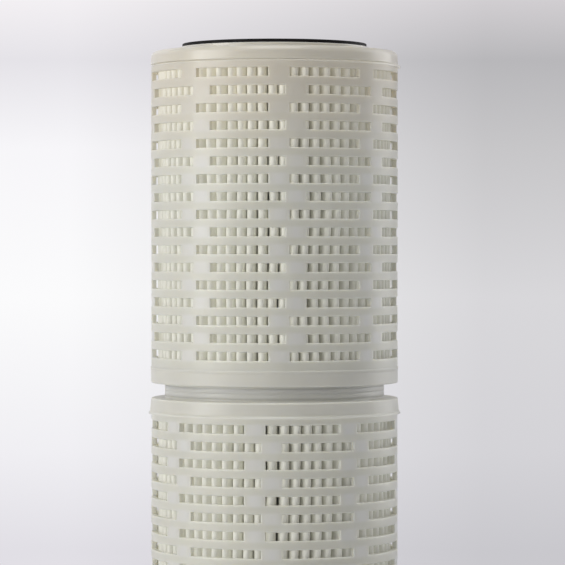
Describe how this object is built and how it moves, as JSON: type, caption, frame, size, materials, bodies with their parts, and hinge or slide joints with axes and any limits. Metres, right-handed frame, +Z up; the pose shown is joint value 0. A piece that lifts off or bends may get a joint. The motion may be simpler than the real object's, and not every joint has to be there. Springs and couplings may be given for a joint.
{
  "type": "sediment filter cartridge",
  "caption": "Tall round pleated filter cartridge: slotted outer cages over pleated packs and perforated cores, welded end to end, open at both ends with a flat gasket on each.",
  "frame": {"origin": "centre of the lower gasket's underside, on the cartridge's axis", "axes": "+Z up the axis, towards the upper module; -Y is the front in the picture"},
  "size_m": [0.182, 0.182, 0.4988],
  "materials": {
    "cage_plastic": "satin, milky natural plastic",
    "cap_plastic": "satin, milky natural plastic",
    "core_plastic": "satin, milky natural plastic",
    "drainage_layer": "soft bonded fleece",
    "filter_media": "fine melt-blown fleece",
    "support_layer": "soft bonded fleece",
    "gasket_rubber": "matt black elastomer"
  },
  "bodies": {
    "root": {"cage_lower": "cage_plastic", "cage_upper": "cage_plastic", "core_lower": "core_plastic", "core_upper": "core_plastic", "drainage_layer_lower": "drainage_layer", "drainage_layer_upper": "drainage_layer", "end_cap_bottom": "cap_plastic", "end_cap_top": "cap_plastic", "filter_media_lower": "filter_media", "filter_media_upper": "filter_media", "gasket_bottom": "gasket_rubber", "gasket_top": "gasket_rubber", "joint_cap_lower": "cap_plastic", "joint_cap_upper": "cap_plastic", "support_layer_lower": "support_layer", "support_layer_upper": "support_layer", "weld_bead": "cap_plastic"}
  },
  "joints": []
}
